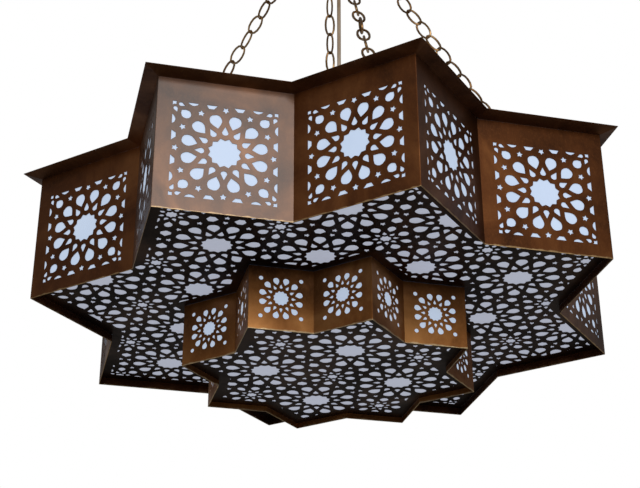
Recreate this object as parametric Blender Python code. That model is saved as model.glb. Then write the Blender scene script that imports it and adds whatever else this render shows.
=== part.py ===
"""Two-tier pierced brass star lantern, hung by four chains from a ceiling hook.

Metres, +Z up.  The origin is the centre of the ceiling plate's top face, where
the lantern meets the ceiling, so everything else is below it.  The star's tips
point to 22.5 degrees and every 45 degrees on from there.
"""
import math

import bpy
from mathutils import Matrix, Vector

# Driving dimensions ---------------------------------------------------------
STAR_RADIUS = 0.420            # axis to a tip of the upper tier
LOWER_SCALE = 0.5              # lower tier against the upper one
WALL_HEIGHT = 0.185            # upper tier walls
LOWER_DROP = 0.078             # lower tier's bottom edge below the upper one's
SHEET = 0.0008                 # brass sheet
GAP = 0.0003                   # between neighbouring pieces
FLOOR_RECESS = 0.0115          # floor plate above the walls' bottom edge
LOWER_RECESS = 0.008
FLANGE_REACH = 0.0186          # flared lip outside the walls
FLANGE_RISE = 0.005
RING_DROP = 0.110              # ceiling to the centre of the top ring
CHAIN_RISE = 0.790             # upper walls' bottom edge to the top ring's centre
FIRST_TIP = math.radians(22.5)
TIP_STEP = math.radians(45)
INNER_CORNER = math.cos(math.radians(45)) / math.cos(math.radians(22.5))
MITRE = math.sqrt(2)           # a wall moved by t moves its tip by t * MITRE

# Heights in the part's frame
RING_Z = -RING_DROP
WALL_Z = RING_Z - CHAIN_RISE
RIM_Z = WALL_Z + WALL_HEIGHT
FLOOR_Z = WALL_Z + FLOOR_RECESS
LOWER_Z = WALL_Z - LOWER_DROP
LOWER_RADIUS = STAR_RADIUS * LOWER_SCALE
LOWER_WALL_TOP = FLOOR_Z - GAP
LOWER_FLOOR_Z = LOWER_Z + LOWER_RECESS
OPENING_RADIUS = LOWER_RADIUS - 0.020      # hole in the floor over the lower tier

# Piercing: twelve-pointed stars on a square lattice
LATTICE = 0.323 * STAR_RADIUS
FLOOR_SHIFT = 0.012                        # the floors are pierced this far behind their middle
STAR_HOLE = 0.049 * STAR_RADIUS
STAR_VALLEY = 0.8
ROSETTE_UP = 0.2033 * STAR_RADIUS          # above the upper walls' bottom edge

# Diffusers
LINER = 0.001
UPPER_LINER_TOP = WALL_Z + 0.156

# Lamp frame and lamps
BAR_WIDTH = 0.016
BAR_THICK = 0.003
BAR_Z = WALL_Z + 0.160
BOX_RADIUS = 0.035
BOX_HEIGHT = 0.034
BOX_TOP = BAR_Z - GAP
LAMP_Z = BOX_TOP - BOX_HEIGHT / 2
BOX_WALL = 0.002
BOLT_RADIUS = 0.005
BOLT_HEAD_RADIUS = 0.009
BOLT_HEAD = 0.0067
GLAND_RADIUS = 0.0045
GLAND_NUT_RADIUS = 0.0055
ARM_RADIUS = 0.006
ARM_LENGTH = 0.030
HOLDER_LENGTH = 0.044
HOLDER_RADIUS = 0.0195
SOCKET_RADIUS = 0.0165
SOCKET_FLOOR = 0.020           # up the holder, where the bulb's cap rests
CAP_RADIUS = 0.0125
BULB_RADIUS = 0.0225
BULB_LENGTH = 0.092

# Chain: 3.5 mm wire links
LINK_WIRE = 0.0035
LINK_PITCH = 0.0305
LINK_WIDTH = 0.0195
LUG_BEARINGS = (176.5, 97.5, -73.0, -5.5)  # beside every second inner corner, set by eye
LUG_Z = RIM_Z - 0.016                      # tongue's top face
LUG_REACH, LUG_HALF, LUG_THICK = 0.018, 0.007, 0.002
CHAIN_INSET = 0.018                        # last link's end inside the wall
LINK_CLEARANCE = 0.009                     # from a tongue to the middle of the last link's end
RING_RADIUS = 0.020
RING_WIRE = 0.0025
RING_PLACES = (-9.0, 35.0, -35.0, 9.0)     # each chain's place round the ring, from its bottom
RING_CLEARANCE = 0.0014                    # from the ring to each chain's first link blank

# Ceiling fitting
PLATE_RADIUS = 0.045
PLATE_THICK = 0.003
CANOPY_RADIUS = 0.062
CANOPY_DEPTH = 0.048
CANOPY_SHEET = 0.0012
CEILING_CLEARANCE = 0.0006     # under the ceiling: canopy rim and screw ends
SCREW_X = 0.030
SCREW_RADIUS = 0.0022
SCREW_HEAD_RADIUS = 0.0045
SCREW_HEAD = 0.0022
NUT_RADIUS = 0.011
NUT_DEPTH = 0.006
BUSH_RADIUS = 0.0042           # where it passes through the canopy
BUSH_HEAD_RADIUS = 0.0065
BUSH_HOLE = 0.0045
HOOK_WIRE = 0.003
HOOK_RADIUS = 0.013
HOOK_Z = RING_Z + RING_RADIUS - HOOK_WIRE - RING_WIRE - GAP + HOOK_RADIUS

# Flexible lead, down one side of the chains
LEAD_RADIUS = 0.003
LEAD_TOP = Vector((0.0190, -0.0165, -CANOPY_DEPTH - 0.004))
LEAD_FOOT = Vector((0.0142, -0.0142, BOX_TOP + 0.010))


# Helpers ---------------------------------------------------------------------
def clear_scene():
    for obj in list(bpy.data.objects):
        bpy.data.objects.remove(obj, do_unlink=True)


def material(name, colour, roughness, metallic=0.0, transmission=0.0):
    mat = bpy.data.materials.get(name)
    if mat is None:
        mat = bpy.data.materials.new(name)
        mat.use_nodes = True
        shader = mat.node_tree.nodes["Principled BSDF"]
        shader.inputs["Base Color"].default_value = (*colour, 1.0)
        shader.inputs["Roughness"].default_value = roughness
        shader.inputs["Metallic"].default_value = metallic
        shader.inputs["Transmission Weight"].default_value = transmission
    return mat


def antique_brass():
    return material("antique_brass", (0.20, 0.12, 0.065), 0.42, 1.0)


def dark_brass():
    return material("dark_brass", (0.09, 0.055, 0.035), 0.5, 1.0)


def steel():
    return material("zinc_steel", (0.55, 0.55, 0.54), 0.4, 1.0)


def opal():
    return material("opal_acrylic", (0.82, 0.83, 0.86), 0.55)


def porcelain():
    return material("lampholder_plastic", (0.86, 0.84, 0.78), 0.45)


def lead_plastic():
    return material("lead_plastic", (0.72, 0.60, 0.45), 0.5)


def frosted_glass():
    return material("frosted_glass", (0.93, 0.93, 0.92), 0.35, 0.0, 0.3)


def new_object(name, mesh, mat, smooth=False):
    obj = bpy.data.objects.new(name, mesh)
    bpy.context.scene.collection.objects.link(obj)
    if not mesh.materials:
        mesh.materials.append(mat)
    if smooth:
        mesh.shade_smooth()
        mesh.set_sharp_from_angle(angle=math.radians(35))
    return obj


def mesh_from(name, verts, faces):
    mesh = bpy.data.meshes.new(name)
    mesh.from_pydata([tuple(v) for v in verts], [], faces)
    mesh.update()
    return mesh


def cut(obj, cutter, operation="DIFFERENCE"):
    """Boolean with a hidden second object."""
    cutter.hide_render = True
    cutter.display_type = "WIRE"
    mod = obj.modifiers.new("boolean", "BOOLEAN")
    mod.operation = operation
    mod.solver = "EXACT"
    mod.object = cutter


def bake(obj, name):
    """The object's evaluated mesh, to share between copies."""
    graph = bpy.context.evaluated_depsgraph_get()
    mesh = bpy.data.meshes.new_from_object(obj.evaluated_get(graph))
    mesh.name = name
    for mod in list(obj.modifiers):
        bpy.data.objects.remove(mod.object, do_unlink=True)
    bpy.data.objects.remove(obj, do_unlink=True)
    return mesh


def prism(name, outline, z0, z1):
    """A flat outline, counter-clockwise, raised from z0 to z1."""
    n = len(outline)
    verts = [(x, y, z) for z in (z0, z1) for x, y in outline]
    faces = [tuple(reversed(range(n))), tuple(range(n, 2 * n))]
    faces += [(i, (i + 1) % n, n + (i + 1) % n, n + i) for i in range(n)]
    return mesh_from(name, verts, faces)


def drill(radius, z, sides, x=0.0, y=0.0):
    """Cutter for an upright round hole through a thin wall at height z."""
    reach = 0.01
    mesh = turned("drill", [(0.0, z - reach), (radius, z - reach),
                            (radius, z + reach), (0.0, z + reach)], sides)
    mesh.transform(Matrix.Translation((x, y, 0)))
    return mesh


def joined(name, meshes):
    """Separate shells in one mesh, for a cutter."""
    verts, faces = [], []
    for mesh in meshes:
        start = len(verts)
        verts += [v.co.copy() for v in mesh.vertices]
        faces += [tuple(start + i for i in p.vertices) for p in mesh.polygons]
    return mesh_from(name, verts, faces)


def turned(name, profile, sides):
    """A closed (radius, height) profile, anticlockwise, swept round Z.

    Profile points on the axis become one vertex each, and the profile may run
    from one axis point to another.
    """
    open_ends = profile[0][0] == 0.0
    verts, rows = [], []
    for radius, z in profile:
        if radius == 0.0:
            rows.append([len(verts)] * sides)
            verts.append((0.0, 0.0, z))
            continue
        rows.append(list(range(len(verts), len(verts) + sides)))
        for i in range(sides):
            a = 2 * math.pi * i / sides
            verts.append((radius * math.cos(a), radius * math.sin(a), z))
    pairs = list(zip(rows, rows[1:]))
    if not open_ends:
        pairs.append((rows[-1], rows[0]))
    faces = []
    for low, high in pairs:
        for i in range(sides):
            j = (i + 1) % sides
            corners = [low[i], low[j], high[j], high[i]]
            face = tuple(dict.fromkeys(corners))
            if len(face) > 2:
                faces.append(face)
    return mesh_from(name, verts, faces)


def tube(name, points, radius, mat, resolution=2, cyclic=False):
    """A round wire along points, with closed ends."""
    curve = bpy.data.curves.new(name, "CURVE")
    curve.dimensions = "3D"
    curve.bevel_depth = radius
    curve.bevel_resolution = resolution
    curve.use_fill_caps = not cyclic
    spline = curve.splines.new("POLY")
    spline.points.add(len(points) - 1)
    for point, co in zip(spline.points, points):
        point.co = (*co, 1.0)
    spline.use_cyclic_u = cyclic
    curve.materials.append(mat)
    obj = bpy.data.objects.new(name, curve)
    bpy.context.scene.collection.objects.link(obj)
    return obj


def bearing(degrees, radius, z=0.0):
    a = math.radians(degrees)
    return Vector((radius * math.cos(a), radius * math.sin(a), z))


def wall_radius(degrees, tip_radius):
    """Distance from the axis to the star's outline at a bearing."""
    step = math.degrees(TIP_STEP)
    off = (degrees - math.degrees(FIRST_TIP)) % step
    off = min(off, step - off)
    return tip_radius * math.cos(math.radians(45)) / math.cos(math.radians(45 - off))


# Star outlines ---------------------------------------------------------------
def star_outline(tip_radius, turn=FIRST_TIP):
    """Octagram: eight right-angled tips and eight inner corners."""
    points = []
    for i in range(16):
        radius = tip_radius if i % 2 == 0 else tip_radius * INNER_CORNER
        a = turn + i * TIP_STEP / 2
        points.append((radius * math.cos(a), radius * math.sin(a)))
    return points


def hole_outline(cx=0.0, cy=0.0):
    """Twelve-pointed star hole."""
    points = []
    for i in range(24):
        r = STAR_HOLE if i % 2 == 0 else STAR_HOLE * STAR_VALLEY
        a = (i + 1) * math.pi / 12
        points.append((cx + r * math.cos(a), cy + r * math.sin(a)))
    return points


def star_band(name, outer, inner, mat):
    """Closed wall round the star between two stacks of (tip radius, height) points.

    The points go round one section of the wall, anticlockwise seen with the axis
    on the left.
    """
    section = outer + inner
    n = 16
    verts = []
    for tip_radius, z in section:
        verts += [(x, y, z) for x, y in star_outline(tip_radius)]
    faces = []
    for k in range(len(section)):
        low, high = k * n, (k + 1) % len(section) * n
        faces += [(low + i, low + (i + 1) % n, high + (i + 1) % n, high + i) for i in range(n)]
    return new_object(name, mesh_from(name, verts, faces), mat)


# Walls: one folded sheet over each tip ---------------------------------------
def corner_panel_mesh(name, tip_radius, z0, z1, hole_z=None):
    """Folded sheet over a tip on +X, from one inner corner to the next.

    hole_z is the height of a star hole in the middle of each half.
    """
    inner_radius = tip_radius - SHEET * MITRE
    half = math.radians(22.5)
    outline = []
    for radius, side in ((tip_radius, -1), (tip_radius, 0), (tip_radius, 1),
                         (inner_radius, 1), (inner_radius, 0), (inner_radius, -1)):
        if side == 0:
            outline.append((radius, 0.0))
            continue
        corner = Vector((math.cos(half), side * math.sin(half))) * radius * INNER_CORNER
        along = (Vector((radius, 0.0)) - corner).normalized()
        outline.append(tuple(corner + along * GAP * 0.6))
    mesh = prism(name, outline, z0, z1)
    if hole_z is None:
        return mesh

    sheet = new_object(name, mesh, antique_brass())
    panel = tip_radius * (math.sqrt(2) - 1)
    holes = []
    for side in (-1, 1):
        normal = Vector((math.cos(math.pi / 4), side * math.sin(math.pi / 4), 0))
        along = Vector((-math.cos(math.pi / 4), side * math.sin(math.pi / 4), 0))
        middle = Vector((tip_radius, 0, hole_z)) + along * panel / 2
        mesh = prism("hole", hole_outline(), -SHEET * 4, SHEET * 4)
        across = Vector((0, 0, 1)).cross(normal)
        mesh.transform(Matrix.Translation(middle)
                       @ Matrix((across, Vector((0, 0, 1)), normal)).transposed().to_4x4())
        holes.append(mesh)
    cutter = new_object("hole_cutter", joined("hole_cutter", holes), antique_brass())
    cut(sheet, cutter)
    return bake(sheet, f"{name}_pierced")


def make_walls():
    upper = corner_panel_mesh("upper_corner_panel", STAR_RADIUS, WALL_Z, RIM_Z, WALL_Z + ROSETTE_UP)
    lower = corner_panel_mesh("lower_corner_panel", LOWER_RADIUS, LOWER_Z, LOWER_WALL_TOP)
    for tier, mesh in (("upper", upper), ("lower", lower)):
        for k in range(8):
            panel = new_object(f"{tier}_corner_panel_{k + 1}", mesh, antique_brass())
            panel.rotation_euler.z = FIRST_TIP + k * TIP_STEP


# Floors ------------------------------------------------------------------------
def make_floors():
    """Recessed floor plates; the upper one is open over the lower tier."""
    plates = {}
    for name, radius, z in (("upper_floor_plate", STAR_RADIUS, FLOOR_Z),
                            ("lower_floor_plate", LOWER_RADIUS, LOWER_FLOOR_Z)):
        outline = star_outline(radius - (SHEET + GAP) * MITRE)
        plates[name] = new_object(name, prism(name, outline, z, z + SHEET), antique_brass())

    low, high = FLOOR_Z - SHEET, FLOOR_Z + 2 * SHEET
    holes = [prism("hole", star_outline(OPENING_RADIUS), low, high)]
    turn = Matrix.Rotation(FIRST_TIP, 2)
    for i in range(-2, 2):
        for j in range(-2, 2):
            centre = turn @ Vector(((i + 0.5) * LATTICE, (j + 0.5) * LATTICE))
            if centre.length > LATTICE:
                holes.append(prism("hole", hole_outline(centre.x, centre.y + FLOOR_SHIFT), low, high))
    cut(plates["upper_floor_plate"], new_object("floor_holes", joined("holes", holes), antique_brass()))


def make_flange():
    """Thin flared lip soldered on the upper walls' top edge."""
    inner = STAR_RADIUS - SHEET * MITRE
    outer = STAR_RADIUS + FLANGE_REACH * MITRE
    low = RIM_Z + GAP
    star_band("rim_flange",
              [(inner, low), (STAR_RADIUS, low), (outer, low + FLANGE_RISE)],
              [(outer, low + FLANGE_RISE + SHEET), (STAR_RADIUS, low + SHEET), (inner, low + SHEET)],
              dark_brass())


# Diffusers: opal sheet behind every pierced face --------------------------------
def make_diffusers():
    for tier, tip, low, high in (
            ("upper", STAR_RADIUS, FLOOR_Z + SHEET + GAP, UPPER_LINER_TOP),
            ("lower", LOWER_RADIUS, LOWER_FLOOR_Z + SHEET + GAP, FLOOR_Z - GAP)):
        outer = tip - (SHEET + GAP) * MITRE
        inner = outer - LINER * MITRE
        star_band(f"{tier}_wall_diffuser", [(outer, low), (outer, high)],
                  [(inner, high), (inner, low)], opal())
        flat = inner - GAP * MITRE
        name = f"{tier}_floor_diffuser"
        if tier == "lower":
            new_object(name, prism(name, star_outline(flat), low, low + LINER), opal())
        else:
            star_band(name, [(flat, low), (flat, low + LINER)],
                      [(OPENING_RADIUS, low + LINER), (OPENING_RADIUS, low)], opal())


# Lamp frame ---------------------------------------------------------------------
def make_cross_bars():
    """Two flat bars soldered across the inner corners carry the lamps."""
    reach = (STAR_RADIUS - SHEET * MITRE) * INNER_CORNER - GAP * 4
    half = BAR_WIDTH / 2
    # the ends are cut back to clear the walls, which spread 22.5 degrees each way
    back = half * math.tan(math.radians(22.5))
    for k, name in enumerate(("cross_bar_x", "cross_bar_y")):
        z = BAR_Z + k * (BAR_THICK + GAP)
        outline = [(-reach, 0), (-reach - back, -half), (reach + back, -half),
                   (reach, 0), (reach + back, half), (-reach - back, half)]
        bar = new_object(name, prism(name, outline, z, z + BAR_THICK), steel())
        bar.rotation_euler.z = k * math.pi / 2
        cut(bar, new_object(f"{name}_hole", drill(BOLT_RADIUS + GAP, z, 16), steel()))


def make_lamp_cluster():
    top = BAR_Z + 2 * BAR_THICK + 2 * GAP
    bolt = turned("centre_bolt", [
        (0.0, BOX_TOP - 0.006), (BOLT_RADIUS, BOX_TOP - 0.006), (BOLT_RADIUS, top),
        (BOLT_HEAD_RADIUS, top), (BOLT_HEAD_RADIUS, top + BOLT_HEAD), (0.0, top + BOLT_HEAD)], 12)
    new_object("centre_bolt", bolt, steel(), smooth=True)

    low, bore = BOX_TOP - BOX_HEIGHT, BOLT_RADIUS + GAP
    inner, outer = BOX_RADIUS - BOX_WALL, BOX_RADIUS
    box = turned("junction_box", [
        (bore, BOX_TOP - BOX_WALL), (inner, BOX_TOP - BOX_WALL), (inner, low + BOX_WALL),
        (bore, low + BOX_WALL), (bore, low), (outer, low), (outer, BOX_TOP), (bore, BOX_TOP)], 24)
    obj = new_object("junction_box", box, steel(), smooth=True)
    hole = drill(GLAND_RADIUS + GAP, BOX_TOP, 12, LEAD_FOOT.x, LEAD_FOOT.y)
    cut(obj, new_object("gland_hole", hole, steel()))

    gland = turned("lead_gland", [
        (0.0, BOX_TOP - 0.004), (GLAND_RADIUS, BOX_TOP - 0.004), (GLAND_RADIUS, BOX_TOP + GAP),
        (GLAND_NUT_RADIUS, BOX_TOP + GAP), (GLAND_NUT_RADIUS, BOX_TOP + 0.004),
        (GLAND_RADIUS - GAP, LEAD_FOOT.z - GAP), (0.0, LEAD_FOOT.z - GAP)], 12)
    gland.transform(Matrix.Translation((LEAD_FOOT.x, LEAD_FOOT.y, 0)))
    new_object("lead_gland", gland, porcelain(), smooth=True)


def place_along(obj, start, direction):
    """Stand a piece modelled up +Z on a point, pointing along a direction."""
    obj.location = start
    obj.rotation_euler = direction.to_track_quat("Z", "Y").to_euler()


def make_lamps():
    """Four lamps on arms, level, and one pointing down into the lower tier."""
    arm = turned("lamp_arm", [(0.0, 0.0), (ARM_RADIUS, 0.0), (ARM_RADIUS, ARM_LENGTH), (0.0, ARM_LENGTH)], 12)
    holder = turned("lampholder", [
        (0.0, 0.0), (0.012, 0.0), (0.016, 0.012), (HOLDER_RADIUS, 0.016),
        (HOLDER_RADIUS, HOLDER_LENGTH), (SOCKET_RADIUS, HOLDER_LENGTH),
        (SOCKET_RADIUS, SOCKET_FLOOR), (0.0, SOCKET_FLOOR)], 12)
    bulb = turned("bulb", [
        (0.0, 0.0), (0.008, 0.0), (CAP_RADIUS, 0.003), (CAP_RADIUS, 0.024), (0.015, 0.030),
        (0.0195, 0.044), (BULB_RADIUS, 0.058), (0.0215, 0.072), (0.0155, 0.084), (0.008, 0.0905),
        (0.0, BULB_LENGTH)], 12)
    spots = [(k + 1, bearing(45 + 90 * k, 1.0)) for k in range(4)] + [(5, Vector((0, 0, -1)))]
    for k, direction in spots:
        base = Vector((0, 0, LAMP_Z)) + direction * (BOX_RADIUS + GAP)
        if k == 5:
            base = Vector((0, 0, BOX_TOP - BOX_HEIGHT - GAP))
        else:
            piece = new_object(f"lamp_arm_{k}", arm, antique_brass(), smooth=True)
            place_along(piece, base, direction)
            base = base + direction * (ARM_LENGTH + GAP)
        piece = new_object(f"lampholder_{k}", holder, porcelain(), smooth=True)
        place_along(piece, base, direction)
        piece = new_object(f"bulb_{k}", bulb, frosted_glass(), smooth=True)
        place_along(piece, base + direction * (SOCKET_FLOOR + GAP), direction)


# Chains ---------------------------------------------------------------------------
def ring_point(degrees, radius):
    a = math.radians(degrees)
    return Vector((0.0, radius * math.sin(a), RING_Z - radius * math.cos(a)))


def link_blank(start, end, side):
    """Flat blank of one link, along start to end and wide along side."""
    along = (end - start).normalized()
    normal = along.cross(side).normalized()
    length = (end - start).length / 2 + LINK_WIRE
    half, thick = LINK_WIDTH / 2, LINK_WIRE / 2
    outline = [(-length, -half), (length, -half), (length, half), (-length, half)]
    mesh = prism("link", outline, -thick, thick)
    turn = Matrix((along, side, normal)).transposed().to_4x4()
    mesh.transform(Matrix.Translation((start + end) / 2) @ turn)
    return mesh


def make_chains():
    for k, (lug, place) in enumerate(zip(LUG_BEARINGS, RING_PLACES)):
        wall = wall_radius(lug, STAR_RADIUS - SHEET * MITRE)
        bottom = bearing(lug, wall - CHAIN_INSET, LUG_Z + LINK_CLEARANCE)
        top = ring_point(place, RING_RADIUS + RING_WIRE + RING_CLEARANCE + LINK_WIRE)
        count = round((top - bottom).length / LINK_PITCH)
        side = Vector((1, 0, 0))
        along = (top - bottom).normalized()
        side = (side - along * side.dot(along)).normalized()
        other = along.cross(side)
        blanks = {0: [], 1: []}
        for i in range(count):
            a = top.lerp(bottom, i / count)
            b = top.lerp(bottom, (i + 1) / count)
            blanks[i % 2].append(link_blank(a, b, (side, other)[i % 2]))
        name = f"chain_{k + 1}"
        chain = new_object(name, joined(name, blanks[0]), antique_brass())
        cut(chain, new_object(f"{name}_odd_links", joined("odd_links", blanks[1]), antique_brass()), "UNION")

        # the tongue soldered on the wall, under the chain's last link
        outline = [(-LUG_REACH, -LUG_HALF), (0.0, -LUG_HALF), (0.0, LUG_HALF), (-LUG_REACH, LUG_HALF)]
        name = f"chain_lug_{k + 1}"
        obj = new_object(name, prism(name, outline, -LUG_THICK, 0.0), antique_brass())
        obj.location = bearing(lug, wall - LUG_HALF, LUG_Z)
        obj.rotation_euler.z = math.radians(lug)


def make_ring():
    points = [ring_point(i * 20, RING_RADIUS) for i in range(18)]
    tube("top_ring", points, RING_WIRE, antique_brass(), cyclic=True)


# Ceiling fitting ------------------------------------------------------------------
def make_hook():
    """Open hook: a straight shank into a turn that closes below it."""
    centre = Vector((0, 0, HOOK_Z))
    points = [Vector((0, 0, -PLATE_THICK - GAP)), Vector((0, 0, HOOK_Z + HOOK_RADIUS + 0.012))]
    for i in range(17):
        a = math.radians(100 + i * 17.5)
        points.append(centre + Vector((math.cos(a), 0, math.sin(a))) * HOOK_RADIUS)
    tube("ceiling_hook", points, HOOK_WIRE, steel())


def make_ceiling_fitting():
    plate = turned("ceiling_plate", [(0.0, -PLATE_THICK), (PLATE_RADIUS, -PLATE_THICK),
                                     (PLATE_RADIUS, 0.0), (0.0, 0.0)], 32)
    obj = new_object("ceiling_plate", plate, steel(), smooth=True)
    head = -PLATE_THICK - GAP
    screw = turned("plate_screw", [
        (0.0, head - SCREW_HEAD), (SCREW_HEAD_RADIUS, head - SCREW_HEAD), (SCREW_HEAD_RADIUS, head),
        (SCREW_RADIUS, head), (SCREW_RADIUS, -CEILING_CLEARANCE), (0.0, -CEILING_CLEARANCE)], 12)
    holes = []
    for k, x in enumerate((-SCREW_X, SCREW_X)):
        piece = new_object(f"plate_screw_{k + 1}", screw, steel(), smooth=True)
        piece.location = (x, 0, 0)
        holes.append(drill(SCREW_RADIUS + GAP, 0.0, 12, x))
    cut(obj, new_object("screw_holes", joined("screw_holes", holes), steel()))

    low, rim, t = -CANOPY_DEPTH, -CEILING_CLEARANCE, CANOPY_SHEET
    canopy = turned("canopy", [
        (0.030, low), (0.048, low + 0.010), (0.058, low + 0.026), (CANOPY_RADIUS, rim),
        (CANOPY_RADIUS - t, rim), (0.058 - t, low + 0.026 + t / 2), (0.048 - t, low + 0.010 + t),
        (0.030, low + t), (BUSH_HOLE, low + t), (BUSH_HOLE, low)], 24)
    obj = new_object("canopy", canopy, antique_brass(), smooth=True)
    hole = drill(BUSH_HOLE, low, 12, LEAD_TOP.x, LEAD_TOP.y)
    cut(obj, new_object("bush_hole", hole, antique_brass()))

    top, bore = low - GAP, HOOK_WIRE + GAP
    nut = turned("canopy_nut", [
        (bore, top), (bore, low - NUT_DEPTH), (NUT_RADIUS - 0.002, low - NUT_DEPTH),
        (NUT_RADIUS, low - NUT_DEPTH + 0.002), (NUT_RADIUS, top)], 16)
    new_object("canopy_nut", nut, antique_brass(), smooth=True)

    bush = turned("lead_bush", [
        (0.0, LEAD_TOP.z + GAP), (BUSH_RADIUS, LEAD_TOP.z + GAP), (BUSH_HEAD_RADIUS, top - 0.001),
        (BUSH_HEAD_RADIUS, top), (BUSH_RADIUS, top), (BUSH_RADIUS, low + 0.006), (0.0, low + 0.006)], 12)
    bush.transform(Matrix.Translation((LEAD_TOP.x, LEAD_TOP.y, 0)))
    new_object("lead_bush", bush, porcelain(), smooth=True)


def make_lead():
    """The lead hangs from its bush in the canopy, bowing slightly, to its gland."""
    count = 40
    points = []
    for i in range(count + 1):
        t = i / count
        bow = math.sin(math.pi * t) * 0.002
        points.append(LEAD_TOP.lerp(LEAD_FOOT, t) + Vector((bow, -bow, 0)))
    tube("lead", points, LEAD_RADIUS, lead_plastic())


def main():
    clear_scene()
    make_ceiling_fitting()
    make_hook()
    make_ring()
    make_chains()
    make_lead()
    make_walls()
    make_floors()
    make_flange()
    make_diffusers()
    make_cross_bars()
    make_lamp_cluster()
    make_lamps()


main()
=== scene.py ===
import math
import random

import bmesh
import bpy
from mathutils import Matrix, Vector


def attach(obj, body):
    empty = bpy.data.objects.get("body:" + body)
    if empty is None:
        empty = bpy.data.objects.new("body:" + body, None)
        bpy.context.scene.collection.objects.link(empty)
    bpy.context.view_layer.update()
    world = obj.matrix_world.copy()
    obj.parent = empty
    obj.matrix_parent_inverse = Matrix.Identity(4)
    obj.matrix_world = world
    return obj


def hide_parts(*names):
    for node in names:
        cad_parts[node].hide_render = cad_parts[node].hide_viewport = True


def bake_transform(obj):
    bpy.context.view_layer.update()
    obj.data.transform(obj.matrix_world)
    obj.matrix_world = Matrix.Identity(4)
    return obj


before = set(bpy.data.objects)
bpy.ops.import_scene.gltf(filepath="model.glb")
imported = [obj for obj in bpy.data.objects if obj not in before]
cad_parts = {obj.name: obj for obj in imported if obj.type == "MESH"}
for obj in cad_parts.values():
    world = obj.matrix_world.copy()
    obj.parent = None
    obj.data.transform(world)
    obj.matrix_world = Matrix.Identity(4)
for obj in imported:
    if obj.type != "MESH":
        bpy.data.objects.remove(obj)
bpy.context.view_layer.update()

# The view: from below and a little to the right of the front, so that both floors and the
# front walls show, with the lantern filling it and the chains running out at the top.
EYE = Vector((0.2491, -1.7770, -1.6854))
AZIMUTH, ELEVATION = math.radians(7.98), math.radians(-23.64)
ROLL, PAN, TILT = 0.0073, -0.0075, -0.0607    # the camera's small turns after that, in radians
LENS = 77.59

back = Vector((math.sin(AZIMUTH) * math.cos(ELEVATION),
               -math.cos(AZIMUTH) * math.cos(ELEVATION), math.sin(ELEVATION)))
across = Vector((0, 0, 1)).cross(back).normalized()
level_view = Matrix((across, back.cross(across), back))
small_turn = (Matrix.Rotation(ROLL, 3, "Z") @ Matrix.Rotation(PAN, 3, "Y")
              @ Matrix.Rotation(TILT, 3, "X"))
bpy.ops.object.select_all(action="DESELECT")
bpy.ops.object.camera_add()
camera = bpy.context.object
camera.name = "camera"
camera.matrix_world = Matrix.Translation(EYE) @ (small_turn @ level_view).transposed().to_4x4()
camera.data.lens = LENS
bpy.context.scene.camera = camera


# The lead: beige two-core flex in a round plastic sheath, 6 mm thick, hanging from its cord grip
# in the canopy down beside the chains to the gland on the junction box.  It is made as a short
# and a long length.
LEAD_RADIUS = 0.003
LEAD_TOP = Vector((0.0190, -0.0165, -0.052))
LEAD_FOOT = Vector((0.0142, -0.0142, -0.7303))
LEAD_BOW = 0.002
LEAD_SPLIT = 0.10                  # share of the lead's length above the join


def drawn(name, lines, closed=True):
    """A curve object with a straight-sided line through each list of points, flat or in space."""
    bpy.ops.object.select_all(action="DESELECT")
    bpy.ops.curve.primitive_bezier_curve_add()
    piece = bpy.context.object
    piece.name = name
    piece.data.splines.clear()
    for line in lines:
        spline = piece.data.splines.new("POLY")
        spline.points.add(len(line) - 1)
        for point, place in zip(spline.points, line):
            point.co = (*Vector(place).to_3d(), 1)
        spline.use_cyclic_u = closed
    return piece


def close_up(merge):
    """In edit mode, merge doubled corners, turn the faces outwards and leave."""
    bpy.ops.mesh.select_all(action="SELECT")
    bpy.ops.mesh.remove_doubles(threshold=merge)
    bpy.ops.mesh.normals_make_consistent(inside=False)
    bpy.ops.object.mode_set(mode="OBJECT")


def to_mesh(piece, merge):
    """Turn a drawn curve into a closed mesh under its own name."""
    bpy.ops.object.convert(target="MESH")
    piece.data.name = piece.name
    bpy.ops.object.mode_set(mode="EDIT")
    close_up(merge)


def wire(name, points, radius, sides, closed=False):
    """A round wire bent along points."""
    piece = drawn(name, [points], closed)
    piece.data.dimensions = "3D"
    piece.data.bevel_depth = radius
    piece.data.bevel_resolution = (sides - 4) // 2
    piece.data.use_fill_caps = not closed
    to_mesh(piece, 0.00001)
    bpy.ops.object.shade_smooth_by_angle(angle=math.radians(50))
    return piece


def add(material, kind, **settings):
    """Add a node to a material; a setting names a socket or a plain property."""
    node = material.node_tree.nodes.new("ShaderNode" + kind)
    for key, value in settings.items():
        if key in node.inputs:
            node.inputs[key].default_value = value
        else:
            setattr(node, key, value)
    return node


def join_up(material, *pairs):
    for out, into in pairs:
        material.node_tree.links.new(out, into)


def new_finish(name, roughness, metallic=0.0):
    """A material with its shader and the object's own coordinates."""
    material = bpy.data.materials.new(name)
    material.use_nodes = True
    shader = material.node_tree.nodes["Principled BSDF"]
    shader.inputs["Roughness"].default_value = roughness
    shader.inputs["Metallic"].default_value = metallic
    place = add(material, "TexCoord")
    return material, shader, place.outputs["Object"]


def grain(material, place, scale, detail=4.0, stretch=(1, 1, 1), rough=0.5, distortion=0.0):
    """Noise at a scale given in cycles to the metre, drawn out along an axis by stretch."""
    mapping = add(material, "Mapping", Scale=tuple(scale * s for s in stretch))
    noise = add(material, "TexNoise", Scale=1.0, Detail=detail, Roughness=rough, Distortion=distortion)
    join_up(material, (place, mapping.inputs["Vector"]),
            (mapping.outputs["Vector"], noise.inputs["Vector"]))
    return noise.outputs["Fac"]


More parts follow.
